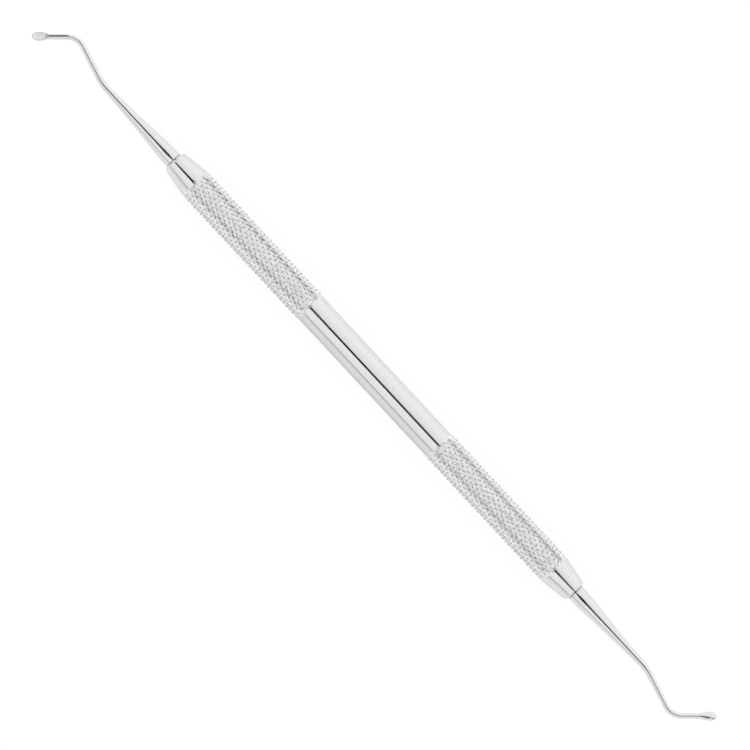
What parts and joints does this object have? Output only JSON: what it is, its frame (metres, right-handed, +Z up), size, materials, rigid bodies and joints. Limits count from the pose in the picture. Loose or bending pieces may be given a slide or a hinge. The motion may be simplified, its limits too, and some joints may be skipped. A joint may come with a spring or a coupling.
{
  "type": "dental spoon excavator",
  "caption": "Slim round knurled handle with a tapering, twice-bent shank at each end that carries a small spoon-shaped scraping blade.",
  "frame": {"origin": "on the handle's axis, at the middle of its length", "axes": "+X along the handle towards the right spoon end, +Z up with the instrument lying flat, and the bends of both shanks lie in the XY plane through the handle's axis"},
  "size_m": [0.1758, 0.0072, 0.0062],
  "materials": {
    "handle_steel": "turned stainless steel, polished, with rolled diamond knurling",
    "shank_steel": "polished stainless steel, with a matt ground face on the spoon"
  },
  "bodies": {
    "root": {"handle": "handle_steel", "left_spoon_end": "shank_steel", "right_spoon_end": "shank_steel"}
  },
  "joints": []
}
